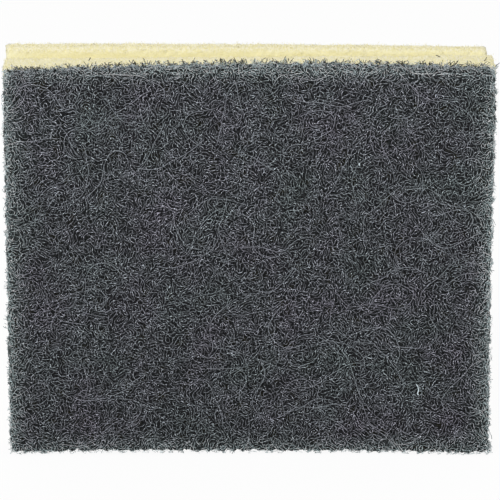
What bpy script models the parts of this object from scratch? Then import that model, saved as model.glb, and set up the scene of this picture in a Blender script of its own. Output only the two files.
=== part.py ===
"""Sponge scourer: a pad of open nonwoven scouring web bonded to a foam sponge with finger grooves.

It stands on one long edge, with the scouring pad facing -Y and the sponge behind it. Metres, +Z up, and the
origin under the middle of the block.
"""

import math

import bmesh
import bpy
import numpy as np

# Outline of the block
LENGTH = 0.110  # along X
HEIGHT = 0.090  # along Z, as it stands

# Thickness along Y, from the front to the back
PAD_THICKNESS = 0.0083
BOND_GAP = 0.0003
FRONT_LIP = 0.0090
GROOVE_WIDTH = 0.0053
BACK_LIP = 0.0041

# Finger grooves along both long edges of the sponge
GROOVE_DEPTH = 0.0060
GROOVE_FILLET = 0.0015
FILLET_STEPS = 4

# Sponge edges
SPONGE_EDGE_ROUND = 0.0008
EDGE_STEPS = 2
ROUNDED_FROM = math.radians(40)  # edges that turn by more than this are rounded
END_LEAN = 0.0004  # each short end leans inwards by this much at the back

# Scouring web
WEB_PITCH = 0.0015  # spacing of the surface points
WEB_RELIEF = 0.0020  # from the highest strands down to the deepest hollow
WEB_FRONT_ROUND = 0.0006  # how far the front's rim falls back
RIM_RELIEF = 0.5  # share of the relief that is left on the rim
WEB_RAGGED = 0.0007  # how far the cut edges are eaten in
WEB_CORNER_ROUND = 0.0012
SIDE_LAYERS = 3  # rows of faces through the pad's cut edges
STRANDS_PER_AREA = 2.0e4  # curled strands per square metre of the front
STRAND_RADIUS = (0.0028, 0.0065)
STRAND_SWEEP = (1.4, 4.4)  # radians of a circle that each strand takes
STRAND_LEVEL = (0.55, 1.0)  # heights at which the strands cross, as shares of the relief
HOLLOW_LEVEL = (0.0, 0.25)  # the floor between them, likewise
WEB_SLIDE = 0.35  # share of the pitch that a point may slide to reach a strand, short of folding a face
WEB_SEED = 7

# Finish: colour, roughness, and the angle from which an edge looks sharp
WEB_COLOUR = (0.085, 0.092, 0.098)
WEB_ROUGHNESS = 0.75
WEB_SHARP_FROM = math.radians(60)
FOAM_COLOUR = (0.80, 0.76, 0.50)
FOAM_ROUGHNESS = 0.9
FOAM_SHARP_FROM = math.radians(35)

THICKNESS = PAD_THICKNESS + BOND_GAP + FRONT_LIP + GROOVE_WIDTH + BACK_LIP
PAD_FRONT = -THICKNESS / 2
PAD_BACK = PAD_FRONT + PAD_THICKNESS
SPONGE_FRONT = PAD_BACK + BOND_GAP
SPONGE_BACK = THICKNESS / 2
GROOVE_FRONT = SPONGE_FRONT + FRONT_LIP
GROOVE_BACK = GROOVE_FRONT + GROOVE_WIDTH


def clear_scene():
    """Starts from an empty scene."""
    for thing in list(bpy.data.objects):
        bpy.data.objects.remove(thing, do_unlink=True)


def make_material(name, colour, roughness):
    """A plain Principled material that isn't metal."""
    material = bpy.data.materials.new(name)
    material.use_nodes = True
    shader = material.node_tree.nodes["Principled BSDF"]
    shader.inputs["Base Color"].default_value = (*colour, 1.0)
    shader.inputs["Roughness"].default_value = roughness
    shader.inputs["Metallic"].default_value = 0.0
    return material


def add_object(name, bm, material):
    """Turns a bmesh into a named object of the scene."""
    mesh = bpy.data.meshes.new(name)
    bm.to_mesh(mesh)
    bm.free()
    mesh.materials.append(material)
    thing = bpy.data.objects.new(name, mesh)
    bpy.context.scene.collection.objects.link(thing)
    return thing


def fillet(centre_y, centre_z, start_angle, end_angle):
    """Points of an arc of the groove's fillet radius, both ends included."""
    angles = np.linspace(start_angle, end_angle, FILLET_STEPS + 1)
    return [
        (centre_y + GROOVE_FILLET * math.cos(a), centre_z + GROOVE_FILLET * math.sin(a))
        for a in angles
    ]


def sponge_section():
    """The sponge's outline in Y and Z: a block with a finger groove in its top and in its bottom edge."""
    fillet_z = HEIGHT - GROOVE_DEPTH + GROOVE_FILLET
    upper = [(SPONGE_FRONT, HEIGHT), (GROOVE_FRONT, HEIGHT)]
    upper += fillet(GROOVE_FRONT + GROOVE_FILLET, fillet_z, math.pi, 1.5 * math.pi)
    upper += fillet(GROOVE_BACK - GROOVE_FILLET, fillet_z, 1.5 * math.pi, 2 * math.pi)
    upper += [(GROOVE_BACK, HEIGHT), (SPONGE_BACK, HEIGHT)]
    lower = [(y, HEIGHT - z) for y, z in reversed(upper)]
    return upper + lower


def make_foam_sponge():
    """The foam block: its section drawn out along X, with leaning ends and softened edges."""
    section = sponge_section()
    lean = END_LEAN / (SPONGE_BACK - SPONGE_FRONT)
    bm = bmesh.new()
    ends = []
    for side in (-1, 1):
        reach = [LENGTH / 2 - lean * (y - SPONGE_FRONT) for y, _ in section]
        ends.append([bm.verts.new((side * x, y, z)) for x, (y, z) in zip(reach, section)])
    left, right = ends
    bm.faces.new(left)
    bm.faces.new(reversed(right))
    for i in range(len(section)):
        j = (i + 1) % len(section)
        bm.faces.new((left[j], left[i], right[i], right[j]))
    bmesh.ops.recalc_face_normals(bm, faces=bm.faces)

    material = make_material("yellow_foam", FOAM_COLOUR, FOAM_ROUGHNESS)
    sponge = add_object("foam_sponge", bm, material)
    bevel = sponge.modifiers.new("soft_edges", "BEVEL")
    bevel.width = SPONGE_EDGE_ROUND
    bevel.segments = EDGE_STEPS
    bevel.limit_method = "ANGLE"
    bevel.angle_limit = ROUNDED_FROM
    sponge.data.shade_smooth()
    sponge.data.set_sharp_from_angle(angle=FOAM_SHARP_FROM)


def lay_strands(x, z, random):
    """Slides the points near a strand onto its crest, and says how far each point lies behind the highest one.

    The strands are arcs that cross at random heights, and the uppermost one at a point sets its height.
    """
    count = round(STRANDS_PER_AREA * LENGTH * HEIGHT)
    centre_x = random.uniform(-LENGTH / 2, LENGTH / 2, count)
    centre_z = random.uniform(0, HEIGHT, count)
    radius = random.uniform(*STRAND_RADIUS, count)
    middle = random.uniform(-math.pi, math.pi, count)
    half_sweep = random.uniform(*STRAND_SWEEP, count) / 2
    level = random.uniform(*STRAND_LEVEL, count)
    height = random.uniform(*HOLLOW_LEVEL, x.shape)
    slid_x = x.copy()
    slid_z = z.copy()
    for i in range(count):
        away_x = x - centre_x[i]
        away_z = z - centre_z[i]
        distance = np.hypot(away_x, away_z)
        off_arc = distance - radius[i]
        turn = np.arctan2(away_z, away_x) - middle[i]
        turn = np.abs((turn + math.pi) % (2 * math.pi) - math.pi)
        on_top = (np.abs(off_arc) < WEB_PITCH / 2) & (turn < half_sweep[i]) & (height < level[i])
        slide = np.clip(off_arc, -WEB_SLIDE * WEB_PITCH, WEB_SLIDE * WEB_PITCH) / distance
        height = np.where(on_top, level[i], height)
        slid_x = np.where(on_top, x - slide * away_x, slid_x)
        slid_z = np.where(on_top, z - slide * away_z, slid_z)
    return slid_x, slid_z, WEB_RELIEF * (height.max() - height)


def cut_edge(count, layers, random):
    """How far the pad's cut edge is eaten in at each point round it and each layer, never less than nothing."""
    rough = random.uniform(0, 1, (layers, count))
    smooth = (rough + np.roll(rough, 1, axis=1) + np.roll(rough, -1, axis=1)) / 3
    smooth -= smooth.min()
    return WEB_RAGGED * smooth / smooth.max()


def outline_of_grid(columns, rows):
    """The grid's outer points in order, anticlockwise seen from the front, as pairs of column and row."""
    bottom = [(c, 0) for c in range(columns)]
    right = [(columns, r) for r in range(rows)]
    top = [(columns - c, rows) for c in range(columns)]
    left = [(0, rows - r) for r in range(rows)]
    return bottom + right + top + left


def add_ridged_pair(bm, corners):
    """Two triangles for one square of the front, split along the diagonal that keeps a strand's crest whole."""
    a, b, c, d = corners
    if max(a.co.y, c.co.y) < max(b.co.y, d.co.y):
        bm.faces.new((a, b, c))
        bm.faces.new((a, c, d))
    else:
        bm.faces.new((a, b, d))
        bm.faces.new((b, c, d))


def make_scouring_pad():
    """The web: a front full of relief, ragged cut edges, and a flat back where it is bonded to the sponge."""
    random = np.random.default_rng(WEB_SEED)
    columns = round(LENGTH / WEB_PITCH)
    rows = round(HEIGHT / WEB_PITCH)
    x, z = np.meshgrid(
        np.linspace(-LENGTH / 2, LENGTH / 2, columns + 1),
        np.linspace(0, HEIGHT, rows + 1),
        indexing="ij",
    )
    slid_x, slid_z, depth = lay_strands(x, z, random)
    outline = outline_of_grid(columns, rows)
    eaten = cut_edge(len(outline), SIDE_LAYERS + 1, random)

    def edge_place(point, layer):
        """A point of the cut edge, pulled in towards the middle by its wear and by the round corners."""
        column, row = outline[point]
        pull = eaten[layer, point]
        corner = column in (0, columns) and row in (0, rows)
        if corner:
            pull += WEB_CORNER_ROUND * (1 - math.sqrt(0.5))
        inward_x = {0: pull, columns: -pull}.get(column, 0)
        inward_z = {0: pull, rows: -pull}.get(row, 0)
        return x[column, row] + inward_x, z[column, row] + inward_z

    bm = bmesh.new()
    grid = {}
    for column in range(columns + 1):
        for row in range(rows + 1):
            place = (slid_x[column, row], PAD_FRONT + depth[column, row], slid_z[column, row])
            grid[column, row] = bm.verts.new(place)
    for point, (column, row) in enumerate(outline):
        edge_x, edge_z = edge_place(point, 0)
        fall = WEB_FRONT_ROUND + RIM_RELIEF * depth[column, row]
        grid[column, row].co = (edge_x, PAD_FRONT + fall, edge_z)
    for column in range(columns):
        for row in range(rows):
            corners = ((column, row), (column + 1, row), (column + 1, row + 1), (column, row + 1))
            add_ridged_pair(bm, [grid[corner] for corner in corners])

    front_ring = [grid[place] for place in outline]
    ring = front_ring
    for layer in range(1, SIDE_LAYERS + 1):
        share = layer / SIDE_LAYERS
        next_ring = []
        for point, start in enumerate(front_ring):
            edge_x, edge_z = edge_place(point, layer)
            y = start.co.y + (PAD_BACK - start.co.y) * share
            next_ring.append(bm.verts.new((edge_x, y, edge_z)))
        for i in range(len(ring)):
            j = (i + 1) % len(ring)
            bm.faces.new((ring[j], ring[i], next_ring[i], next_ring[j]))
        ring = next_ring
    bm.faces.new(ring)
    bmesh.ops.recalc_face_normals(bm, faces=bm.faces)

    material = make_material("charcoal_web", WEB_COLOUR, WEB_ROUGHNESS)
    pad = add_object("scouring_pad", bm, material)
    pad.data.shade_smooth()
    pad.data.set_sharp_from_angle(angle=WEB_SHARP_FROM)


def main():
    clear_scene()
    make_scouring_pad()
    make_foam_sponge()


main()
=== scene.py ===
"""Looks of the sponge scourer: a web of curled charcoal fibres bonded to a pale yellow foam sponge.

Metres, +Z up. The block stands on one long edge, with the scouring pad facing -Y and the foam behind it.
"""

import math

import bmesh
import bpy
import numpy as np
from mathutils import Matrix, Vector
from mathutils.kdtree import KDTree


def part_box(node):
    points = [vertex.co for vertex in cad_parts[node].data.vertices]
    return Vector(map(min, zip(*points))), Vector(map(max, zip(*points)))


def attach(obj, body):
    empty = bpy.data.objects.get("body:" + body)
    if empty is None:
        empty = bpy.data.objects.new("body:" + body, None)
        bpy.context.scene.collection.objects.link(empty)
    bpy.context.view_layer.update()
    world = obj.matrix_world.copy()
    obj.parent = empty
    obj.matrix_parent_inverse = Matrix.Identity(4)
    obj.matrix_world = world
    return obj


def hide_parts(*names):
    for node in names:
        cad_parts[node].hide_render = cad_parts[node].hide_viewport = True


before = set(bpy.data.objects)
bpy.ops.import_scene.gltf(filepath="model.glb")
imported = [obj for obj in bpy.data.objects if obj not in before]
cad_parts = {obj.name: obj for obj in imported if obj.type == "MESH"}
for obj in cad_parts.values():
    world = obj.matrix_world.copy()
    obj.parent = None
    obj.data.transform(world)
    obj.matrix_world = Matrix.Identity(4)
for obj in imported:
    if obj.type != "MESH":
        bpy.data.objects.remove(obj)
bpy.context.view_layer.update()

PAD_LOW, PAD_HIGH = (np.array(corner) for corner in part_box("scouring_pad"))
FOAM_LOW, FOAM_HIGH = (np.array(corner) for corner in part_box("foam_sponge"))
PAD_THICKNESS = PAD_HIGH[1] - PAD_LOW[1]

MM = 0.001
SEED = 11
TINY = 1e-9  # keeps a division clear of zero

# Noise in shapes: how many waves it adds up, and how their sizes spread about its own
WAVES = 14
WAVE_SPREAD = (0.7, 1.4)

# Camera, fitted to the photo's perspective
CAMERA_AZIMUTH = math.radians(-0.6)
CAMERA_ELEVATION = math.radians(18.7)
CAMERA_DISTANCE = 0.95
CAMERA_LENS = 304  # for the usual 36 mm wide sensor
CAMERA_AIM = (0.1 * MM, PAD_LOW[1], 49.62 * MM)

# Light
AMBIENT = 0.6
SOFTBOX_PLACE = (-0.25, -0.75, 0.85)
SOFTBOX_SIZE = 0.6
SOFTBOX_WATTS = 5.5
FLOOR_SPAN = 6.0
FLOOR_DROP = 0.05 * MM  # keeps the floor clear of the block's underside
FLOOR_ALBEDO = 0.95
FLOOR_GLOW = 0.94  # share of plain white in what the camera sees of the floor

# How fibres curl: steps along one, how sharply each step may bend in radians per metre, the share of a bend
# that carries on into the next step, and how far and how often the fibre weaves in and out of the web
CRIMPED = {
    "steps": 15,
    "step": 0.26 * MM,
    "bend": 1150,
    "carry": 0.3,
    "weave": (0.03 * MM, 0.2 * MM),
    "weave_wavelength": (1.2 * MM, 3 * MM),
}
FRINGED = {
    "steps": 7,
    "step": 0.36 * MM,
    "bend": 900,
    "carry": 0.4,
    "weave": (0.05 * MM, 0.3 * MM),
    "weave_wavelength": (1.4 * MM, 4 * MM),
}
LOOSE = {**FRINGED, "steps": 4}  # the bits on the foam's lip
SWEEPING = {
    "steps": 22,
    "step": 0.8 * MM,
    "bend": 110,
    "carry": 0.85,
    "weave": (0.02 * MM, 0.1 * MM),
    "weave_wavelength": (4 * MM, 9 * MM),
}

# Greys as the eye sees them. Most fibres change at random from stretch to stretch between the first five,
# each with its share of the stretches. These changes are painted glints and painted shade along the fibres,
# where they catch the light or dip under others, and the brightest grey is a painted glint
SHADES = (
    ("web_fibres_dark", 0.41, 0.25),
    ("web_fibres_middle", 0.50, 0.25),
    ("web_fibres_light", 0.60, 0.25),
    ("web_fibres_pale", 0.74, 0.18),
    ("web_fibres_bright", 0.97, 0.07),
)
LONG_SHADE = ("web_fibres_long", 0.72)
# The fringe grey is painted shade, for fibres at the cut edges seen against the light
FRINGE_SHADE = ("web_fibres_fringe", 0.42)
# The strays' near-black grey is painted shade, for ends seen against the light; the loose bits share it
STRAY_SHADE = ("web_fibres_stray", 0.1)

# The web's tint: its grey drifts between two casts, is darker low down, and gets paler towards the outline.
# That paleness is painted light, where light gets in at the cut edges
TEAL = np.array((0.925, 1.0, 1.01))
PURPLE = np.array((0.995, 0.98, 1.06))
CAST_SIZE = 14 * MM
CAST_DETAIL = 5.0
CAST_RANGE = (0.3, 0.7)  # of the noise, from the one cast to the other
LOW_GREY = 0.98  # share of its grey that it has low down
HIGH_GREY = 1.02
GREY_HEIGHTS = (15 * MM, 85 * MM)  # between which that changes
RIM = 8 * MM  # it gets paler over this distance from the outline
RIM_OUTER = 1 * MM  # and is palest from here outwards
RIM_PALER = 0.52  # by this share of its grey
RIM_POWER = 2.7  # most of that close to the outline
RIM_PALEST = 0.97  # and never more than this
TOP_RIM_NARROWER = 1.4
RIM_ABOVE = 2.0 * MM  # at the top, the distance is taken from this far above the edge
FIBRE_ROUGHNESS = 0.5
WEB_SPECULAR = 0.1  # little gloss gets out of the web

# Three-sided tubes for the fibres, whose radius changes from place to place for the resin on them
TRIANGLES_PER_STEP = 6
FIBRE_RADIUS = (0.038 * MM, 0.085 * MM)
LONG_RADIUS = (0.03 * MM, 0.065 * MM)
FRINGE_RADIUS = (0.045 * MM, 0.095 * MM)
LOOSE_RADIUS = (0.08 * MM, 0.12 * MM)
LINT_AND_GLINT_RADIUS = (0.12 * MM, 0.2 * MM)
LOWEST = FIBRE_RADIUS[1]  # height of a fibre that lies on the floor

# Fibres that cover the front and the cut top edge
COVER_TRIANGLES = 715_000
COVER_KEPT = 0.97  # share of their length that is left on average where the pad's edges cut them
COVER_DEPTH = (0.0, 0.45 * MM)
LONG_FIBRES = 110
LONG_DEPTH = (0.0, 0.2 * MM)
HOLLOWS = 0.1 * MM  # how much deeper they lie for each unit of the noise that makes shallow hollows
HOLLOW_SIZE = 8 * MM
HOLLOW_FROM = -0.5  # where a hollow starts in that noise
HOLLOW_FLOOR = 2  # and how much further its floor is

# They grow step by step towards the emptiest places of a grid
FILL_CELL = 0.25 * MM
FILL_SPREAD = 1.1  # cells over which a fibre fills those round it less and less
FILL_REACH = 2  # cells that this reaches at most
CHOICES = 9  # starts and bends to choose from
LOOK_AHEAD = 0.5 * MM
BATCH = 200  # fibres that grow at the same time

# Where the pad's edges cut fibres off, measured outwards from its outline
STICK_OUT = (-0.4 * MM, 0.1 * MM)
FRINGE_STICK_OUT = (-0.5 * MM, 0.12 * MM)
STRAY_STICK_OUT = (-0.2 * MM, 0.9 * MM)
WILD_SHARE = 0.1  # of all fibres are cut off further out
WILD_STICK_OUT = 0.6 * MM
FRONT_STICK_OUT = 0.2 * MM  # out of the front
BACK_STICK_OUT = 0.3 * MM  # out of the back, above the top edge
TUFTS = 0.22 * MM  # how much further fibres reach out together in places along the outline
TUFT_SIZE = 1.8 * MM
TUFT_SQUASH = (1, 0.3, 1)  # tufts are longer through the thickness
BOTTOM_TUFTS = 0.45 * MM  # added to those along the bottom
BOTTOM_SHORTER = 0.2 * MM  # how much shorter fibres are cut there
BOTTOM = 2 * MM  # how far up that goes

# Fringes of fibres along the cut edges: axes along and out of each, the way it faces, triangles, and the
# share of the thickness that they start behind
LIT_FRINGES = (
    (0, 2, 1, 30_000, 0.5),
    (0, 2, -1, 12_000, 0.0),
    (2, 0, 1, 44_000, 0.0),
    (2, 0, -1, 44_000, 0.0),
)
# The dark ones are darker copies of the front's fibres, painted shade for ends seen against the light
DARK_FRINGES = (
    (0, 2, -1, 26_000, 0.0),
    (2, 0, 1, 20_000, 0.0),
    (2, 0, -1, 20_000, 0.0),
)
FRINGE_KEPT = 0.8  # share of their length that is left on average
FRINGE_DEPTH = (-0.3 * MM, 0.9 * MM)  # inwards from the outline

# The web's plane holds the front, and above it the cut top edge, as if that were a slope
IN_PLANE = (1, 0, 1)  # leaves the thickness out
TOP_SLOPE = 0.34  # its rise over its depth
TOP_RISE = TOP_SLOPE * PAD_THICKNESS
TOP_SHALLOWER = 0.6  # share of their depth that fibres have there
EDGE_ROUND = 1.0 * MM  # radius of the edges round the front
OUTLINE_MARGIN = 0.8 * MM  # fibres are laid this far past the outline, so that they cross it
# Corners of that plane
GRID_LOW = PAD_LOW[[0, 2]] - OUTLINE_MARGIN
GRID_HIGH = PAD_HIGH[[0, 2]] + (0, TOP_RISE) + OUTLINE_MARGIN

# Fibre ends that stand up past the back of the top edge. The dark ones are painted shade: near-black ends
# seen against the light
STRAYS = 680  # dark ones
LIT_STRAYS = 120  # and ones in the shades of the front
STRAY_CHOICES = 4  # places to choose from for each
STRAY_CLUSTERS = 0.8  # how unevenly they stand
STRAY_CLUSTER_SIZE = 3 * MM
STRAY_STEPS = 5
STRAY_LEAN = 0.7  # radians to either side
STRAY_BEND = 0.35  # radians at each step
STRAYS_FROM = 1.6 * MM  # in front of the pad's back
STRAYS_ABOVE = (-1.3 * MM, -0.5 * MM)  # the pad's top

# Dark bits on the foam's front lip: their X and Y in millimetres, and their height above the lip
LOOSE_BITS = ((42.6, 2.2), (53.1, -0.4), (-35.9, 0.3))
LOOSE_ABOVE = 0.3 * MM

# Map on which each face of a fibre takes a small square at its own place on the front
MAP_MARGIN = 5 * MM  # of the map round the pad
MAP_SQUARE = 0.0011  # half the diagonal of such a square, as a share of the map

# The pad isn't cut quite true. Its top edge rises in a low arch
ARCH_RISE = 1.6 * MM
ARCH_PLACE = 5.5 * MM
ARCH_HALF_SPAN = 62 * MM
# Its other edges waver: places along them and how far they are out on the right and up below, in millimetres
RIGHT_EDGE = ((0, 0.15), (20, -0.15), (45, -0.05), (70, 0.1), (90, 0.15))
LOWER_EDGE = ((-55, 0.0), (-38, 0.25), (-15, 0.2), (10, 0.05), (40, 0.0))
LEFT_EDGE = 0.05 * MM  # out all along
# Its lower right corner stands a little forward, from where it starts to where it is all there
CORNER_BULGE = 1.2 * MM
CORNER_ALONG = (25 * MM, 50 * MM)
CORNER_HEIGHTS = (16 * MM, 0)

# White lint that has caught in the web, a curled fibre, and a few white bits, as places on the front in
# millimetres. The third and fourth bits are painted glints, the others white specks
LINT_AND_GLINT_SHADE = ("white_lint", 0.97)
LINT = ((38.0, 17.3), (38.4, 16.7), (38.55, 15.8), (38.3, 15.1), (38.5, 14.7))
LINT_FINER = 3  # points of the fibre for each of its places
BITS = ((39.6, 16.3), (42.2, 18.0), (38.4, 5.3), (39.0, 4.8), (-53.7, 47.4), (24.5, 69.0))
BIT_SIZE = 0.12 * MM

# The shape of the web's dark inside
CORE_FRONT_INSET = 0.8 * MM
CORE_RIM_INSET = 0.35 * MM  # of the front at the outline
CORE_RIM = 3 * MM  # how far inwards that changes
CORE_SIDE_INSET = 0.2 * MM
CORE_TOP_INSET = 0.6 * MM
CORE_BOTTOM_INSET = 0.85 * MM
CORE_JAGS = 0.2 * MM  # how unevenly its edges lie
CORE_BOTTOM_JAGS = 0.3 * MM
CORE_JAGS_IN = 1.5 * MM  # how far inwards that reaches
CORE_FINE_IN = CORE_JAGS_IN / 2  # how far inwards its mesh is finer
CORE_CUTS = 2  # cuts of each edge of its mesh there
CORE_RELIEF = 0.1  # share of the CAD pad's relief that is left in it
CORE_RELIEF_FROM = 2.7 * MM  # deeper than any of that relief

# Its look: deeper fibres over darker gaps, as greys, both olive-brown in small patches. The darker gaps are
# painted shade, where the web is deep and little light reaches
CORE_ROUGHNESS = 0.8
CORE_LIT = 0.25
CORE_DARK = 0.11
OLIVE = np.array((1.0, 0.97, 0.74))
OLIVE_LIT = 0.9 * CORE_LIT
OLIVE_DARK = 0.06
PATCH_SIZE = 3.2 * MM
PATCH_RANGE = (0.56, 0.72)  # of the noise, from outside a patch to inside it
FINE_STRANDS = (0.55 * MM, 0.05)  # size of their curls, and half their width as a share of the noise
BROAD_STRANDS = (0.8 * MM, 0.04)
STRAND_LEVEL = 0.5  # of the noise, along which they run
STRAND_DETAIL = 1.0
STRAND_NARROWER = 3  # how much narrower the full tone along a strand's middle is than all of it
STRAND_BUMP = 0.25 * MM
CORE_EDGE_DARK = 0.2  # its greys near the sides and the bottom, where light gets in
CORE_EDGE_LIT = 0.5
CORE_EDGE = 2.2 * MM
CORE_EDGE_OUTER = CORE_EDGE / 3

# The foam's shape
FOAM_VOXEL = 0.9 * MM
FOAM_FINE_FROM = 82 * MM  # a finer mesh from here up
FOAM_CUTS = 1  # cuts of each edge of its mesh there
FOAM_ROUND = 1.3 * MM  # radius of its edges once it has been meshed afresh
FOAM_SHARPENED = 0.9  # share of that which is taken back
FOAM_LEAN = 0.4 * MM  # its ends lean in by this much at the back
PORES_PER_AREA = 1.2e5  # larger pores for each square metre of its broad faces
PORE_RADIUS = (0.5 * MM, 1.1 * MM)
PORE_DEPTH = 0.15 * MM
FOAM_SWELL = 0.1 * MM  # how far its faces waver
FOAM_SWELL_SIZE = 17 * MM
FOAM_GRAIN = 0.05 * MM  # and how rough they are
FOAM_GRAIN_SIZE = 2.0 * MM
FOAM_GRAIN_WAVES = 24
FOAM_FUZZY_FROM = 88.4 * MM  # it is fuzzy from here up
FOAM_FUZZ = 0.1 * MM
FOAM_CLEAN = (12.2 * MM, 12.9 * MM)  # but less and less towards its back edge

# Whiskers: cut struts of the foam's cells, which stick out of its fuzzy top
WHISKERS = 8_000
WHISKER_LENGTH = (0.15 * MM, 0.55 * MM)
WHISKER_RADIUS = 0.08 * MM
WHISKERS_UP = 0.6  # least upward part of the normal where they stand
WHISKER_LEAN = 0.5  # how unevenly they point
WHISKER_SCATTER = FOAM_VOXEL / 4
WHISKER_FACES = ((0, 2, 1), (0, 1, 3), (1, 2, 3), (2, 0, 3))  # three corners at the foot, and the tip

# The foam isn't cut quite true. Each pair is a shift in millimetres at its middle, and what its right end has
# more of that and its left end less
FRONT_LIP_ASIDE = (0.075, 0.345)
BACK_LIP_ASIDE = (-0.475, 0.095)
BELOW_ASIDE = (0.0, -0.3)
BACK_LIP_UP = (0.04, -0.5)
BACK_LIP_ARCH = 0.25  # how much further up its middle is than that
GROOVE_BACKWARDS = (0.4, 0.9)
# Where those shifts set in, from the first place to the second, or come to an end behind the groove
BACK_LIP_FROM = (3 * MM, 10 * MM)
ASIDE_FROM = (81 * MM, 88 * MM)
TOP_FROM = (60 * MM, 86 * MM)
FRONT_LIP = 9 * MM  # the groove's shift sets in over this depth
GROOVE_UNTIL = (4.1 * MM, 9.4 * MM)

# The foam's look
FOAM_ROUGHNESS = 0.95
FOAM_COLOUR = (0.985, 0.960, 0.845)
PORE_COLOUR = (0.957, 0.928, 0.745)
MOTTLE_SIZE = 0.36 * MM
MOTTLE_RANGE = (0.38, 0.62)  # of the noise, from the one colour to the other
MOTTLE_SQUASH = (1, 0.4, 1)  # mottling is longer through the thickness
CELL_SIZE = 0.4 * MM
CELL_BUMP = 0.12 * MM
GRAIN_SIZE = 0.35 * MM
GRAIN_DETAIL = 3
GRAIN_BUMP = 0.08 * MM
BACK_COLOUR = (1.0, 1.0, 0.95)  # at the back's top edge, where light comes through
BACK_DEPTHS = (12.0 * MM, 13.2 * MM)
BACK_HEIGHTS = (89.2 * MM, 89.6 * MM)
# The upper groove is a plainer, deeper yellow: painted light that bounces between its walls
GROOVE_BOUNCE_COLOUR = (0.985, 0.960, 0.795)  # plain, between these limits, from outside each of them to inside it
GROOVE_TOP = (89.7 * MM, 88.9 * MM)
GROOVE_FLOOR = (82.0 * MM, 83.0 * MM)
GROOVE_FRONT = (3.7 * MM, 4.1 * MM)
GROOVE_BACK = (10.1 * MM, 9.7 * MM)


def linear(colour):
    """A colour as the eye sees it, turned into the linear values that shaders take."""
    colour = np.asarray(colour, float)
    return np.where(colour <= 0.04045, colour / 12.92, ((colour + 0.055) / 1.055) ** 2.4)


def smooth_step(start, end, value):
    """0 up to the start, 1 from the end on, and smooth between them, also where the end is the lower one."""
    share = np.clip((value - start) / (end - start), 0, 1)
    return share * share * (3 - 2 * share)


def plane_waves(points, size, random, waves=WAVES):
    """Smooth noise of unit variance over an array of points, with features of about this size."""
    direction = random.normal(size=(waves, 3))
    direction /= np.linalg.norm(direction, axis=1, keepdims=True)
    pitch = 2 * math.pi / (size * random.uniform(*WAVE_SPREAD, waves))
    phase = random.uniform(0, 2 * math.pi, waves)
    total = np.sin(points @ (direction * pitch[:, None]).T + phase).sum(axis=-1)
    return total * math.sqrt(2 / waves)


def corners_round(middle, radius, one_way, other_way):
    """Three corners about each place, at this radius in the plane of two directions."""
    turns = np.arange(3) * 2 * math.pi / 3
    return [middle + radius * (one_way * math.cos(a) + other_way * math.sin(a)) for a in turns]


def new_material(name, roughness):
    """A Principled material, with its node tree and shader."""
    material = bpy.data.materials.new(name)
    material.use_nodes = True
    tree = material.node_tree
    shader = tree.nodes["Principled BSDF"]
    shader.inputs["Roughness"].default_value = roughness
    return material, tree, shader


def place_in(tree, squash=(1, 1, 1)):
    """The place on the object in metres, optionally flattened along an axis."""
    place = tree.nodes.new("ShaderNodeTexCoord")
    mapping = tree.nodes.new("ShaderNodeMapping")
    mapping.inputs["Scale"].default_value = squash
    tree.links.new(place.outputs["Object"], mapping.inputs["Vector"])
    return mapping.outputs["Vector"]


def axes_in(tree):
    """X, Y and Z of the place on the object in metres."""
    place = tree.nodes.new("ShaderNodeTexCoord")
    split = tree.nodes.new("ShaderNodeSeparateXYZ")
    tree.links.new(place.outputs["Object"], split.inputs["Vector"])
    return [split.outputs[axis] for axis in "XYZ"]


def noise_in(tree, vector, size, detail=2.0):
    """Noise with features of about this size, from 0 to 1."""
    noise = tree.nodes.new("ShaderNodeTexNoise")
    noise.inputs["Scale"].default_value = 1 / size
    noise.inputs["Detail"].default_value = detail
    tree.links.new(vector, noise.inputs["Vector"])
    return noise.outputs["Fac"]


def cells_in(tree, vector, size):
    """Distance to the nearest cell's middle, for cells of about this size."""
    cells = tree.nodes.new("ShaderNodeTexVoronoi")
    cells.inputs["Scale"].default_value = 1 / size
    tree.links.new(vector, cells.inputs["Vector"])
    return cells.outputs["Distance"]


def math_in(tree, operation, first, second):
    """What an operation makes of two values, of which the second may be a plain number."""
    node = tree.nodes.new("ShaderNodeMath")
    node.operation = operation
    tree.links.new(first, node.inputs[0])
    if isinstance(second, bpy.types.NodeSocket):
        tree.links.new(second, node.inputs[1])
    else:
        node.inputs[1].default_value = second
    return node.outputs["Value"]


def range_in(tree, value, start, end):
    """0 where the value is at the start, 1 where it is at the end, clamped outside them."""
    node = tree.nodes.new("ShaderNodeMapRange")
    node.inputs["From Min"].default_value = start
    node.inputs["From Max"].default_value = end
    tree.links.new(value, node.inputs["Value"])
    return node.outputs["Result"]


def blend_in(tree, factor, low, high):
    """A blend of two colours, each a seen colour or a colour socket."""
    mix = tree.nodes.new("ShaderNodeMix")
    mix.data_type = "RGBA"
    tree.links.new(factor, mix.inputs["Factor"])
    for name, colour in (("A", low), ("B", high)):
        socket = [s for s in mix.inputs if s.name == name and s.type == "RGBA"][0]
        if isinstance(colour, bpy.types.NodeSocket):
            tree.links.new(colour, socket)
        else:
            socket.default_value = (*linear(colour), 1)
    return [s for s in mix.outputs if s.type == "RGBA"][0]


def bump_in(tree, height, depth, before=None):
    """A bump of this depth in metres from a height of 0 to 1, on top of the bump before it."""
    bump = tree.nodes.new("ShaderNodeBump")
    bump.inputs["Distance"].default_value = depth
    tree.links.new(height, bump.inputs["Height"])
    if before is not None:
        tree.links.new(before, bump.inputs["Normal"])
    return bump.outputs["Normal"]


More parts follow.
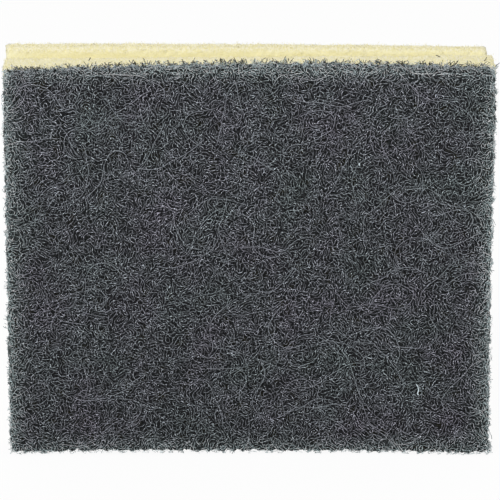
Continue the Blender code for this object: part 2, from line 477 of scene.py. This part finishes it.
def web_tint_and_rim_light(tree, place, grey):
    """A grey with a drifting cast, a little darker low down, and pale teal towards the pad's outline.

    That pale teal is painted light, where light gets in at the cut edges.
    """
    casts = range_in(tree, noise_in(tree, place, CAST_SIZE, CAST_DETAIL), *CAST_RANGE)
    low = blend_in(tree, casts, LOW_GREY * grey * TEAL, LOW_GREY * grey * PURPLE)
    high = blend_in(tree, casts, HIGH_GREY * grey * TEAL, HIGH_GREY * grey * PURPLE)
    height = axes_in(tree)[2]
    plain = blend_in(tree, range_in(tree, height, *GREY_HEIGHTS), low, high)
    pale = np.minimum(grey * TEAL * (1 + RIM_PALER), RIM_PALEST)
    return blend_in(tree, rim_in(tree, RIM, RIM_OUTER), plain, pale)


def rim_in(tree, inner, outer, past_top=0.0):
    """0 up to the inner distance from the pad's outline, and 1 from the outer one outwards.

    The outline's top may be taken higher than it is.
    """
    x, _, z = axes_in(tree)
    side = math_in(tree, "ADD", math_in(tree, "ABSOLUTE", x, 0.0), -PAD_HIGH[0])
    above = math_in(tree, "ADD", z, -PAD_HIGH[2] - RIM_ABOVE - past_top)
    top = math_in(tree, "MULTIPLY", above, TOP_RIM_NARROWER)
    bottom = math_in(tree, "MULTIPLY", z, -1.0)
    nearest = math_in(tree, "MAXIMUM", side, math_in(tree, "MAXIMUM", top, bottom))
    return math_in(tree, "POWER", range_in(tree, nearest, -inner, -outer), RIM_POWER)


def fibre_material(name, grey):
    """Charcoal fibre, whose tint drifts across the pad, with painted light towards its outline."""
    material, tree, shader = new_material(name, FIBRE_ROUGHNESS)
    tree.links.new(web_tint_and_rim_light(tree, place_in(tree, IN_PLANE), grey), shader.inputs["Base Color"])
    shader.inputs["Specular IOR Level"].default_value = WEB_SPECULAR
    return material


def strands_in(tree, place, size, width):
    """Curled lines along a level of a noise: 1 on a line, 0 away from it, and soft between them."""
    level = math_in(tree, "SUBTRACT", noise_in(tree, place, size, STRAND_DETAIL), STRAND_LEVEL)
    away = math_in(tree, "ABSOLUTE", level, 0.0)
    return range_in(tree, away, width, width / STRAND_NARROWER)


def core_material():
    """The web's dark inside, where deeper fibres show between the ones in front.

    The darker gaps between them are painted shade.
    """
    material, tree, shader = new_material("web_core", CORE_ROUGHNESS)
    shader.inputs["Specular IOR Level"].default_value = WEB_SPECULAR
    place = place_in(tree)
    fine, broad = (strands_in(tree, place, *strands) for strands in (FINE_STRANDS, BROAD_STRANDS))
    strands = math_in(tree, "MAXIMUM", fine, broad)
    patches = range_in(tree, noise_in(tree, place, PATCH_SIZE), *PATCH_RANGE)
    lit = blend_in(tree, patches, web_tint_and_rim_light(tree, place, CORE_LIT), OLIVE_LIT * OLIVE)
    dark = blend_in(tree, patches, web_tint_and_rim_light(tree, place, CORE_DARK), OLIVE_DARK * OLIVE)
    inside = blend_in(tree, strands, dark, lit)
    side = blend_in(tree, strands, CORE_EDGE_DARK * TEAL, CORE_EDGE_LIT * TEAL)
    near_side = rim_in(tree, CORE_EDGE, CORE_EDGE_OUTER, past_top=CORE_EDGE)
    tree.links.new(blend_in(tree, near_side, inside, side), shader.inputs["Base Color"])
    tree.links.new(bump_in(tree, strands, STRAND_BUMP), shader.inputs["Normal"])
    return material


def foam_material():
    """Pale yellow foam with fine open cells, plainer in its upper groove and paler at the back of its top.

    The groove's deeper yellow is painted light that bounces between its walls, and the paler back is painted
    light that comes through its top edge.
    """
    material, tree, shader = new_material("foam", FOAM_ROUGHNESS)
    noise = noise_in(tree, place_in(tree, MOTTLE_SQUASH), MOTTLE_SIZE, detail=0)
    colour = blend_in(tree, range_in(tree, noise, *MOTTLE_RANGE), PORE_COLOUR, FOAM_COLOUR)
    _, depth, height = axes_in(tree)
    groove = range_in(tree, height, *GROOVE_TOP)
    for value, limits in ((height, GROOVE_FLOOR), (depth, GROOVE_FRONT), (depth, GROOVE_BACK)):
        groove = math_in(tree, "MINIMUM", groove, range_in(tree, value, *limits))
    top = range_in(tree, height, *BACK_HEIGHTS)
    back = math_in(tree, "MINIMUM", range_in(tree, depth, *BACK_DEPTHS), top)
    colour = blend_in(tree, groove, colour, GROOVE_BOUNCE_COLOUR)
    tree.links.new(blend_in(tree, back, colour, BACK_COLOUR), shader.inputs["Base Color"])
    place = place_in(tree)
    coarse = bump_in(tree, cells_in(tree, place, CELL_SIZE), CELL_BUMP)
    grain = noise_in(tree, place, GRAIN_SIZE, GRAIN_DETAIL)
    tree.links.new(bump_in(tree, grain, GRAIN_BUMP, coarse), shader.inputs["Normal"])
    return material


def add_piece(name, mesh, material):
    """Adds a mesh as a piece of the object that rides on its one body."""
    mesh.materials.clear()
    mesh.materials.append(material)
    mesh.shade_smooth()
    piece = bpy.data.objects.new(name, mesh)
    bpy.context.scene.collection.objects.link(piece)
    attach(piece, "root")
    return piece


def vectors_of(mesh, kind):
    """The places of the mesh's vertices, or their normals, as an array."""
    flat = np.empty(len(mesh.vertices) * 3, np.float32)
    mesh.vertices.foreach_get(kind, flat)
    return flat.reshape(-1, 3).astype(float)


def numbers_of(items, kind):
    """Whole numbers of one kind that belong to the faces or the corners of a mesh, as an array."""
    numbers = np.empty(len(items), np.int32)
    items.foreach_get(kind, numbers)
    return numbers


def set_coordinates(mesh, points):
    """Writes an array back as the mesh's vertices."""
    mesh.vertices.foreach_set("co", points.astype(np.float32).ravel())
    mesh.update()


def remeshed(node, voxel):
    """A copy of a CAD node's shape with an even mesh of this pitch."""
    probe = bpy.data.objects.new("remesh_probe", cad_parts[node].data.copy())
    bpy.context.scene.collection.objects.link(probe)
    remesh = probe.modifiers.new("even", "REMESH")
    remesh.mode = "VOXEL"
    remesh.voxel_size = voxel
    mesh = bpy.data.meshes.new_from_object(probe.evaluated_get(bpy.context.evaluated_depsgraph_get()))
    bpy.data.objects.remove(probe)
    return mesh


def sharpened(points):
    """Places on the foam block with its box's rounded edges brought out to where it was cut."""
    middle = (FOAM_LOW + FOAM_HIGH) / 2
    off = points - middle
    lean = FOAM_LEAN * np.clip((points[:, 1] - FOAM_LOW[1]) / (FOAM_HIGH[1] - FOAM_LOW[1]), 0, 1)
    drawn_in = lean[:, None] * (1, 0, 0)
    past = np.maximum(np.abs(off) - (FOAM_HIGH - FOAM_LOW) / 2 + drawn_in + FOAM_ROUND, 0)
    furthest = np.maximum(past.max(axis=1, keepdims=True), TINY)
    length = np.linalg.norm(past, axis=1, keepdims=True)
    return points + np.sign(off) * past * np.clip(length / furthest - 1, 0, 1) * FOAM_SHARPENED


def shifted(shift, side):
    """A shift that changes evenly along the block, from the one at its middle."""
    middle, more = shift
    return middle + more * side


def skew_foam(points):
    """The block's untrue cut: its back lip slopes down to the right, and its groove runs a little askew."""
    x, y, z = points.T
    side = x / FOAM_HIGH[0]
    top = smooth_step(*TOP_FROM, z)
    brim = smooth_step(*ASIDE_FROM, z)
    back = smooth_step(*BACK_LIP_FROM, y)
    in_lip = np.clip((y - FOAM_LOW[1]) / FRONT_LIP, 0, 1) * (1 - smooth_step(*GROOVE_UNTIL, y))
    aside = (1 - back) * shifted(FRONT_LIP_ASIDE, side) + back * shifted(BACK_LIP_ASIDE, side)
    aside = aside * brim + shifted(BELOW_ASIDE, side) * (1 - brim)
    backwards = in_lip * top * shifted(GROOVE_BACKWARDS, side)
    up = back * top * (shifted(BACK_LIP_UP, side) + BACK_LIP_ARCH * (1 - side**2))
    return points + MM * np.stack([aside, backwards, up], axis=1)


def refine(mesh, wanted, cuts):
    """Cuts those of the mesh's edges whose two ends are in wanted places."""
    bm = bmesh.new()
    bm.from_mesh(mesh)
    edges = [edge for edge in bm.edges if all(wanted(vertex.co) for vertex in edge.verts)]
    bmesh.ops.subdivide_edges(bm, edges=edges, cuts=cuts, use_grid_fill=True)
    bm.to_mesh(mesh)
    bm.free()


def near_top(place):
    """True for a place on the upper part of the foam, which the camera sees."""
    return place.z > FOAM_FINE_FROM


def with_whiskers(mesh, random):
    """The mesh with whiskers in random directions out of its fuzzy top, whose faces come after all others."""
    points = vectors_of(mesh, "co")
    normals = vectors_of(mesh, "normal")
    upper = np.flatnonzero((points[:, 2] > FOAM_FUZZY_FROM) & (normals[:, 2] > WHISKERS_UP))
    roots = random.choice(upper, WHISKERS)
    way = normals[roots] + random.normal(0, WHISKER_LEAN, (WHISKERS, 3))
    way /= np.linalg.norm(way, axis=1, keepdims=True)
    foot = points[roots] + random.normal(0, WHISKER_SCATTER, (WHISKERS, 3)) - WHISKER_RADIUS * normals[roots]
    side = np.cross(way, random.normal(size=(WHISKERS, 3)))
    side /= np.linalg.norm(side, axis=1, keepdims=True)
    tip = foot + way * random.uniform(*WHISKER_LENGTH, (WHISKERS, 1))
    corners = [*corners_round(foot, WHISKER_RADIUS, side, np.cross(way, side)), tip]
    whiskers = np.stack(corners, axis=1).reshape(-1, 3)
    first = len(points) + len(corners) * np.arange(WHISKERS)
    faces = (first[:, None, None] + np.array(WHISKER_FACES)).reshape(-1, 3)
    whole = bpy.data.meshes.new(mesh.name)
    old_faces = [tuple(polygon.vertices) for polygon in mesh.polygons]
    whole.from_pydata(np.concatenate([points, whiskers]).tolist(), [], old_faces + faces.tolist())
    return whole


def pore_dents(points, random):
    """How deep the foam is dented at each of its points by the nearest of its larger pores."""
    area = 2 * np.prod(FOAM_HIGH[[0, 2]] - FOAM_LOW[[0, 2]])
    pores = points[random.choice(len(points), int(PORES_PER_AREA * area), replace=False)]
    radius = random.uniform(*PORE_RADIUS, len(pores))
    tree = KDTree(len(pores))
    for i, pore in enumerate(pores):
        tree.insert(pore, i)
    tree.balance()
    nearest = [tree.find(point) for point in points]
    away = np.array([found[2] for found in nearest])
    size = radius[[found[1] for found in nearest]]
    return PORE_DEPTH * np.clip(1 - (away / size) ** 2, 0, 1) * size / PORE_RADIUS[1]


def make_foam(random):
    """The foam block: soft cut faces that waver a little, dented by its larger pores."""
    mesh = remeshed("foam_sponge", FOAM_VOXEL)
    refine(mesh, near_top, FOAM_CUTS)
    points = vectors_of(mesh, "co")
    normals = vectors_of(mesh, "normal")
    dents = pore_dents(points, random)
    swell = FOAM_SWELL * (1 + np.tanh(plane_waves(points, FOAM_SWELL_SIZE, random))) / 2
    grain = FOAM_GRAIN * plane_waves(points, FOAM_GRAIN_SIZE, random, FOAM_GRAIN_WAVES)
    clean = smooth_step(*FOAM_CLEAN, points[:, 1])
    fuzz = (1 - clean) * (points[:, 2] > FOAM_FUZZY_FROM) * FOAM_FUZZ * random.normal(size=len(points))
    points = skew_foam(sharpened(points) - normals * (dents + swell + grain + fuzz)[:, None])
    points[:, 2] = np.maximum(points[:, 2], FOAM_LOW[2])
    set_coordinates(mesh, points)

    foam = add_piece("foam_block", with_whiskers(mesh, random), foam_material())
    smooth = np.ones(len(foam.data.polygons), bool)
    smooth[-len(WHISKER_FACES) * WHISKERS :] = False
    foam.data.polygons.foreach_set("use_smooth", smooth)
    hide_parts("foam_sponge")


def rounded(points):
    """Places in the pad's box, drawn in where its front's edges and its two lower corners are soft."""
    middle = (PAD_LOW + PAD_HIGH) / 2
    off = points - middle
    past = np.maximum(np.abs(off) - (PAD_HIGH - PAD_LOW) / 2 + EDGE_ROUND, 0)
    past[..., 1] = np.where(off[..., 1] < 0, past[..., 1], 0)
    sideways, upwards = past[..., 0], past[..., 2]
    corner = np.where(off[..., 2] > 0, np.maximum(sideways, upwards), np.hypot(sideways, upwards))
    length = np.maximum(np.hypot(corner, past[..., 1]), TINY)[..., None]
    return points - np.sign(off) * past * (1 - past.max(axis=-1, keepdims=True) / length)


def arch_at(x):
    """How far the pad's top edge rises here."""
    return ARCH_RISE * (1 - ((x - ARCH_PLACE) / ARCH_HALF_SPAN) ** 2)


def skew_pad(points):
    """The pad's untrue cut: its arched top, its wavering other edges, and its corner that stands forward."""
    x, y, z = np.moveaxis(points, -1, 0)
    right = np.interp(z, *(np.array(RIGHT_EDGE) * MM).T)
    wider = np.where(x > 0, right, -LEFT_EDGE) * (x / PAD_HIGH[0]) ** 2
    lower = np.interp(x, *(np.array(LOWER_EDGE) * MM).T)
    half = PAD_HIGH[2] / 2
    raised = smooth_step(half, PAD_HIGH[2], z) * arch_at(x) + smooth_step(half, 0, z) * lower
    forward = CORNER_BULGE * smooth_step(*CORNER_ALONG, x) * smooth_step(*CORNER_HEIGHTS, z)
    return np.stack([x + wider, y - forward, z + raised], axis=-1)


def tufts(points):
    """How far the web bulges out of its outline in places, with unit variance, and alike for all fibres."""
    return plane_waves(points * TUFT_SQUASH, TUFT_SIZE, np.random.default_rng(SEED))


def near_outline(place):
    """True for a place close to the pad's cut edges."""
    return min(PAD_HIGH[0] - abs(place.x), place.z, PAD_HIGH[2] - place.z) < CORE_FINE_IN


def make_core():
    """The web's dark inside: the pad's own shape with less relief, drawn in from its open sides."""
    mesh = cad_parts["scouring_pad"].data.copy()
    refine(mesh, near_outline, CORE_CUTS)
    points = vectors_of(mesh, "co")
    x, y, z = points.T.copy()
    from_side, from_top = PAD_HIGH[0] - np.abs(x), PAD_HIGH[2] - z
    from_edge = np.minimum(from_side, np.minimum(z, from_top))
    inset = CORE_RIM_INSET + (CORE_FRONT_INSET - CORE_RIM_INSET) * smooth_step(0, CORE_RIM, from_edge)
    behind = y - PAD_LOW[1]
    rough = (tufts(points) + np.random.default_rng(SEED).normal(size=len(points))) / math.sqrt(2)
    at_side, at_top, at_bottom = (smooth_step(CORE_JAGS_IN, 0, away) for away in (from_side, from_top, z))
    points[:, 0] -= np.sign(x) * at_side * (CORE_SIDE_INSET - CORE_JAGS * rough)
    points[:, 1] = np.where(behind < CORE_RELIEF_FROM, PAD_LOW[1] + inset + CORE_RELIEF * behind, y)
    points[:, 2] -= at_top * (CORE_TOP_INSET - CORE_JAGS * rough)
    points[:, 2] += at_bottom * (CORE_BOTTOM_INSET - CORE_BOTTOM_JAGS * rough)
    set_coordinates(mesh, skew_pad(rounded(points)))
    core = add_piece("web_core", mesh, core_material())
    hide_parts("scouring_pad")


def cells_at(places, filled):
    """The cells of the web's grid that some places in its plane fall in, as an index."""
    cells = ((places - GRID_LOW) / FILL_CELL).astype(int)
    return tuple(np.moveaxis(np.clip(cells, 0, np.array(filled.shape) - 1), -1, 0))


def grow(style, count, low, high, filled, random):
    """Fibres that start between two corners of the web's plane and bend towards its emptiest places."""
    each = np.arange(count)
    starts = random.uniform(low, high, (CHOICES, count, 2))
    path = [starts[filled[cells_at(starts, filled)].argmin(axis=0), each]]
    heading = random.uniform(0, 2 * math.pi, count)
    bend = np.zeros(count)
    for _ in range(style["steps"] - 1):
        bends = style["carry"] * bend + random.normal(0, style["bend"], (CHOICES, count))
        headings = heading + bends * style["step"]
        ways = np.stack([np.cos(headings), np.sin(headings)], axis=-1)
        best = filled[cells_at(path[-1] + LOOK_AHEAD * ways, filled)].argmin(axis=0)
        bend, heading = bends[best, each], headings[best, each]
        path.append(path[-1] + style["step"] * ways[best, each])
    return np.stack(path, axis=1)


def fill(filled, paths):
    """Counts some paths as lying in the cells of the web's grid, and less so in those round them."""
    reach = range(-FILL_REACH, FILL_REACH + 1)
    for i in reach:
        for j in reach:
            cells = cells_at(paths + FILL_CELL * np.array((i, j)), filled)
            np.add.at(filled, cells, math.exp(-(i * i + j * j) / (2 * FILL_SPREAD**2)))


def cover(style, count, filled, random):
    """Fibres that cover the web's plane evenly, in between those that the grid holds."""
    batches = []
    for start in range(0, count, BATCH):
        batches.append(grow(style, min(BATCH, count - start), GRID_LOW, GRID_HIGH, filled, random))
        fill(filled, batches[-1])
    return np.concatenate(batches)


def woven(flat, y, style, random):
    """Fibres in the web's plane, brought to their places in the thickness, where they weave to and fro."""
    count = (len(flat), 1)
    steps = np.arange(flat.shape[1]) * style["step"]
    wavelength = random.uniform(*style["weave_wavelength"], count)
    weave = random.uniform(*style["weave"], count)
    weave = weave * np.sin(2 * math.pi * (steps / wavelength + random.uniform(0, 1, count)))
    return np.stack([flat[..., 0], y[:, None] + weave, flat[..., 1]], axis=-1)


def covering_fibres(style, count, depths, filled, random):
    """Fibres that cover the front and the cut top edge evenly, and which of their points are kept."""
    flat = cover(style, count, filled, random)
    over_back = flat[..., 1] - PAD_HIGH[2] - TOP_RISE
    out = np.maximum(np.abs(flat[..., 0]) - PAD_HIGH[0], np.maximum(PAD_LOW[2] - flat[..., 1], over_back))
    paths = woven(flat, random.uniform(*depths, count), style, random)
    hollows = plane_waves(paths * IN_PLANE, HOLLOW_SIZE, np.random.default_rng(SEED))
    x, depth, up = np.moveaxis(paths, -1, 0)
    depth = depth + HOLLOWS * np.clip(hollows - HOLLOW_FROM, 0, HOLLOW_FLOOR)
    above = up - PAD_HIGH[2]
    back = np.clip(above, 0, TOP_RISE) / TOP_SLOPE
    lying = smooth_step(-EDGE_ROUND / 2, EDGE_ROUND / 2, above)
    y = PAD_LOW[1] + back + (1 - lying) * depth
    z = up - back * TOP_SLOPE - lying * TOP_SHALLOWER * depth
    paths = np.stack([x, y, z], axis=-1)
    return paths, out < reaches(paths, STICK_OUT, random)


def fringe_fibres(fringe, random):
    """Short fibres through the thickness of a cut edge, which lie along the web's plane as all others do."""
    along, out, way, most_triangles, from_front = fringe
    count = round(most_triangles / (FRINGE_KEPT * TRIANGLES_PER_STEP * FRINGED["steps"]))
    flat = curls(FRINGED, count, random)
    edge = PAD_HIGH[out] if way > 0 else PAD_LOW[out]
    middle = {along: random.uniform(PAD_LOW[along], PAD_HIGH[along], count)}
    middle[out] = edge - way * random.uniform(*FRINGE_DEPTH, count)
    depth = random.uniform(from_front, 1, count) * PAD_THICKNESS
    flat = flat + np.stack([middle[0], middle[2]], axis=1)[:, None]
    return woven(flat, PAD_LOW[1] + depth, FRINGED, random)


def curls(style, count, random):
    """Fibres about the middle of the web's plane that bend as they happen to."""
    nowhere = np.zeros(2)
    flat = grow(style, count, nowhere, nowhere, np.zeros((1, 1)), random)
    return flat - flat.mean(axis=1, keepdims=True)


def loose_bits(random):
    """Short dark bits of fibre that are caught on the foam's front lip."""
    places = np.array(LOOSE_BITS) * MM
    flat = curls(LOOSE, len(places), random)
    x = places[:, :1] + flat[..., 0]
    y = np.broadcast_to(places[:, 1:], x.shape)
    # The pad's arch is added to all fibres later, so it is taken off here
    z = FOAM_HIGH[2] - arch_at(x) + LOOSE_ABOVE + flat[..., 1]
    return np.stack([x, y, z], axis=-1)


def stray_fibres(count, random):
    """Fibre ends that stand up past the back of the top edge."""
    along = random.uniform(PAD_LOW[0], PAD_HIGH[0], STRAY_CHOICES * count)
    clusters = plane_waves(along[:, None] * (1, 0, 0), STRAY_CLUSTER_SIZE, random)
    weight = np.exp(STRAY_CLUSTERS * clusters)
    along = random.choice(along, count, replace=False, p=weight / weight.sum())
    start = np.stack([along, PAD_HIGH[2] + random.uniform(*STRAYS_ABOVE, count)], axis=1)
    lean = random.normal(0, STRAY_LEAN, (count, 1))
    lean = lean + random.normal(0, STRAY_BEND, (count, STRAY_STEPS)).cumsum(axis=1)
    way = np.stack([np.sin(lean), np.cos(lean)], axis=-1)
    flat = start[:, None] + FRINGED["step"] * way.cumsum(axis=1)
    return woven(flat, PAD_HIGH[1] - random.uniform(0, STRAYS_FROM, count), FRINGED, random)


def reaches(paths, stick_out, random):
    """How far past the pad's outline each fibre is cut off, further where the web bulges out."""
    count = (len(paths), 1)
    wild = random.uniform(0, 1, count) < WILD_SHARE
    reach = np.where(wild, random.uniform(0, WILD_STICK_OUT, count), random.uniform(*stick_out, count))
    low = smooth_step(BOTTOM, 0, paths[..., 2])
    return reach - low * BOTTOM_SHORTER + (TUFTS + low * BOTTOM_TUFTS) * tufts(paths)


def trimmed(paths, stick_out, random):
    """The paths, and which of their points lie within the pad or reach a little out of it."""
    x, y, z = np.moveaxis(paths, -1, 0)
    over_top = z - PAD_HIGH[2]
    out = np.maximum(np.abs(x) - PAD_HIGH[0], np.maximum(PAD_LOW[2] - z, over_top))
    behind = np.where(over_top > 0, BACK_STICK_OUT, 0)
    within_thickness = (y > PAD_LOW[1] - FRONT_STICK_OUT) & (y < PAD_HIGH[1] + behind)
    return paths, (out < reaches(paths, stick_out, random)) & within_thickness


def after_and_before(stretches):
    """Which points of the paths have one of these stretches after them, and which have one before them."""
    return np.pad(stretches, ((0, 0), (0, 1))), np.pad(stretches, ((0, 0), (1, 0)))


def tubes(paths, keep, radius, stretches=True):
    """Three-sided tubes along kept stretches of paths, closed where a fibre ends: their vertices and faces.

    Only the wanted stretches are made, since the others of the same fibre may belong to other pieces.
    """
    keep = keep & (paths[..., 2] > LOWEST)
    paths = settled(paths)
    whole = keep[:, :-1] & keep[:, 1:]
    joined = whole & stretches
    goes_on, came_from = after_and_before(whole)
    used = np.logical_or(*after_and_before(joined))
    ring = np.full(used.shape, -1)
    ring[used] = np.arange(used.sum())

    tangent = np.gradient(paths, axis=1)[used]
    tangent /= np.linalg.norm(tangent, axis=1, keepdims=True)
    across = np.cross(tangent, (0, -1, 0))
    across /= np.linalg.norm(across, axis=1, keepdims=True)
    over = np.cross(across, tangent)
    rings = corners_round(paths[used], radius[used][:, None], across, over)
    vertices = np.stack(rings, axis=1).reshape(-1, 3)

    start, end = ring[:, :-1][joined] * 3, ring[:, 1:][joined] * 3
    around = [(i, (i + 1) % 3) for i in range(3)]
    sides = [np.stack([start + i, start + j, end + j, end + i], axis=1) for i, j in around]
    first, last = ring[used & ~came_from] * 3, ring[used & ~goes_on] * 3
    caps = [np.stack([first + 2, first + 1, first], axis=1), np.stack([last, last + 1, last + 2], axis=1)]
    return vertices, (np.concatenate(sides), np.concatenate(caps))


def add_map(mesh):
    """A map for the fibres' drift of grey: each face takes a small square at its own place on the front."""
    points = vectors_of(mesh, "co")
    corner_vertex = numbers_of(mesh.loops, "vertex_index")
    first = numbers_of(mesh.polygons, "loop_start")
    count = numbers_of(mesh.polygons, "loop_total")
    face = np.repeat(np.arange(len(first)), count)
    middle = np.add.reduceat(points[corner_vertex], first) / count[:, None]
    turn = (np.arange(len(face)) - first[face]) / count[face] * 2 * math.pi
    low = PAD_LOW[[0, 2]] - MAP_MARGIN
    span = PAD_HIGH[[0, 2]] - PAD_LOW[[0, 2]] + 2 * MAP_MARGIN
    place = (middle[:, [0, 2]] - low) / span
    places = place[face] + MAP_SQUARE * np.stack([np.cos(turn), np.sin(turn)], axis=1)
    layer = mesh.uv_layers.new(name="OFBake")
    layer.uv.foreach_set("vector", places.astype(np.float32).ravel())


def make_fibres(name, grey, groups):
    """One piece of fibres, all of one grey, from groups of what tubes takes."""
    tube_parts = [tubes(*group) for group in groups]
    offsets = np.cumsum([0] + [len(vertices) for vertices, _ in tube_parts])
    faces = []
    for offset, (_, kinds) in zip(offsets, tube_parts):
        for corners in kinds:
            faces += (corners + offset).tolist()
    mesh = bpy.data.meshes.new(name)
    mesh.from_pydata(np.concatenate([vertices for vertices, _ in tube_parts]).tolist(), [], faces)
    add_map(mesh)
    add_piece(name, mesh, fibre_material(name, grey))


def settled(paths):
    """Fibres laid in the pad's box, brought to its soft edges and its untrue cut, and kept off the floor."""
    paths = skew_pad(rounded(paths))
    paths[..., 2] = np.maximum(paths[..., 2], LOWEST)
    return paths


def with_radius(paths, keep, radius, random):
    """Paths, which of their points are kept, and the fibre's radius at each point."""
    return paths, keep, random.uniform(*radius, keep.shape)


def all_kept(paths, radius, random):
    """Paths of which no point is cut off, as tubes takes them."""
    return with_radius(paths, np.full(paths.shape[:2], True), radius, random)


def fringe_group(fringe, random):
    """The fibres along one cut edge, as tubes takes them."""
    fibres = trimmed(fringe_fibres(fringe, random), FRINGE_STICK_OUT, random)
    return with_radius(*fibres, FRINGE_RADIUS, random)


def stray_group(count, random):
    """Fibre ends past the back of the top edge, as tubes takes them."""
    fibres = trimmed(stray_fibres(count, random), STRAY_STICK_OUT, random)
    return with_radius(*fibres, FRINGE_RADIUS, random)


def make_web(random):
    """All of the scouring web's fibres."""
    filled = np.zeros(np.ceil((GRID_HIGH - GRID_LOW) / FILL_CELL).astype(int))
    long = covering_fibres(SWEEPING, LONG_FIBRES, LONG_DEPTH, filled, random)
    make_fibres(*LONG_SHADE, [with_radius(*long, LONG_RADIUS, random)])

    count = round(COVER_TRIANGLES / (COVER_KEPT * TRIANGLES_PER_STEP * CRIMPED["steps"]))
    front = covering_fibres(CRIMPED, count, COVER_DEPTH, filled, random)
    lit = [with_radius(*front, FIBRE_RADIUS, random)]
    lit += [fringe_group(fringe, random) for fringe in LIT_FRINGES]
    lit.append(stray_group(LIT_STRAYS, random))
    shares = [share for *_, share in SHADES]
    shades = [random.choice(len(SHADES), (len(keep), keep.shape[1] - 1), p=shares) for _, keep, _ in lit]
    for i, (name, grey, _) in enumerate(SHADES):
        make_fibres(name, grey, [(*group, shade == i) for group, shade in zip(lit, shades)])

    make_fibres(*FRINGE_SHADE, [fringe_group(fringe, random) for fringe in DARK_FRINGES])
    loose = all_kept(loose_bits(random), LOOSE_RADIUS, random)
    make_fibres(*STRAY_SHADE, [stray_group(STRAYS, random), loose])


def make_marks(random):
    """A curled white fibre that has caught in the web, and a few white bits, two of them painted glints."""
    curl = np.array(LINT) * MM
    steps = np.linspace(0, len(curl) - 1, LINT_FINER * len(curl))
    curl = np.stack([np.interp(steps, np.arange(len(curl)), line) for line in curl.T], axis=-1)
    bits = np.array(BITS)[:, None] * MM + random.normal(0, BIT_SIZE, (len(BITS), 2, 2))
    groups = []
    for flat in (curl[None], bits):
        y = np.full(flat.shape[:2], PAD_LOW[1] - FRONT_STICK_OUT)
        paths = np.stack([flat[..., 0], y, flat[..., 1]], axis=-1)
        groups.append(all_kept(paths, LINT_AND_GLINT_RADIUS, random))
    make_fibres(*LINT_AND_GLINT_SHADE, groups)


def white_to_camera(tree):
    """1 on what the camera sees directly, in a reflection or through glass, and 0 on what only lights."""
    path = tree.nodes.new("ShaderNodeLightPath")
    total = path.outputs["Is Camera Ray"]
    for kind in ("Is Glossy Ray", "Is Transmission Ray"):
        total = math_in(tree, "MAXIMUM", total, path.outputs[kind])
    return total


def make_world():
    """Soft white light from all round, and plain white where the camera sees it."""
    world = bpy.data.worlds.new("studio")
    world.use_nodes = True
    bpy.context.scene.world = world
    tree = world.node_tree
    soft = tree.nodes["Background"]
    soft.inputs["Color"].default_value = (1, 1, 1, 1)
    soft.inputs["Strength"].default_value = AMBIENT
    white = tree.nodes.new("ShaderNodeBackground")
    white.inputs["Color"].default_value = (1, 1, 1, 1)
    mix = tree.nodes.new("ShaderNodeMixShader")
    tree.links.new(white_to_camera(tree), mix.inputs["Fac"])
    tree.links.new(soft.outputs["Background"], mix.inputs[1])
    tree.links.new(white.outputs["Background"], mix.inputs[2])
    tree.links.new(mix.outputs["Shader"], tree.nodes["World Output"].inputs["Surface"])


def make_softbox():
    """One large lamp above the front, a little to the left."""
    softbox = bpy.data.lights.new("softbox", "AREA")
    softbox.size = SOFTBOX_SIZE
    softbox.energy = SOFTBOX_WATTS
    lamp = bpy.data.objects.new("softbox", softbox)
    lamp.location = SOFTBOX_PLACE
    aim = Vector(CAMERA_AIM) - lamp.location
    lamp.rotation_euler = aim.to_track_quat("-Z", "Y").to_euler()
    bpy.context.scene.collection.objects.link(lamp)


def make_floor():
    """A pale floor that the camera sees as nearly white, with the block's shadow on it."""
    mesh = bpy.data.meshes.new("floor")
    half = FLOOR_SPAN / 2
    corners = [(x * half, y * half, -FLOOR_DROP) for x, y in ((-1, -1), (1, -1), (1, 1), (-1, 1))]
    mesh.from_pydata(corners, [], [(0, 1, 2, 3)])
    material, tree, shader = new_material("floor", 1.0)
    shader.inputs["Base Color"].default_value = (FLOOR_ALBEDO, FLOOR_ALBEDO, FLOOR_ALBEDO, 1)
    shader.inputs["Specular IOR Level"].default_value = 0
    glow = tree.nodes.new("ShaderNodeEmission")
    mix = tree.nodes.new("ShaderNodeMixShader")
    tree.links.new(math_in(tree, "MULTIPLY", white_to_camera(tree), FLOOR_GLOW), mix.inputs["Fac"])
    tree.links.new(shader.outputs["BSDF"], mix.inputs[1])
    tree.links.new(glow.outputs["Emission"], mix.inputs[2])
    tree.links.new(mix.outputs["Shader"], tree.nodes["Material Output"].inputs["Surface"])
    mesh.materials.append(material)
    floor = bpy.data.objects.new("floor", mesh)
    bpy.context.scene.collection.objects.link(floor)


def make_camera():
    """The photo's view: a little above straight on."""
    camera = bpy.data.objects.new("camera", bpy.data.cameras.new("camera"))
    camera.data.lens = CAMERA_LENS
    away = Vector(
        (
            math.sin(CAMERA_AZIMUTH) * math.cos(CAMERA_ELEVATION),
            -math.cos(CAMERA_AZIMUTH) * math.cos(CAMERA_ELEVATION),
            math.sin(CAMERA_ELEVATION),
        )
    )
    camera.location = Vector(CAMERA_AIM) + away * CAMERA_DISTANCE
    camera.rotation_euler = (-away).to_track_quat("-Z", "Y").to_euler()
    bpy.context.scene.collection.objects.link(camera)
    bpy.context.scene.camera = camera


bpy.context.scene.view_settings.view_transform = "Standard"
random = np.random.default_rng(SEED)
make_camera()
make_world()
make_softbox()
make_floor()
make_foam(random)
make_core()
make_web(random)
make_marks(random)
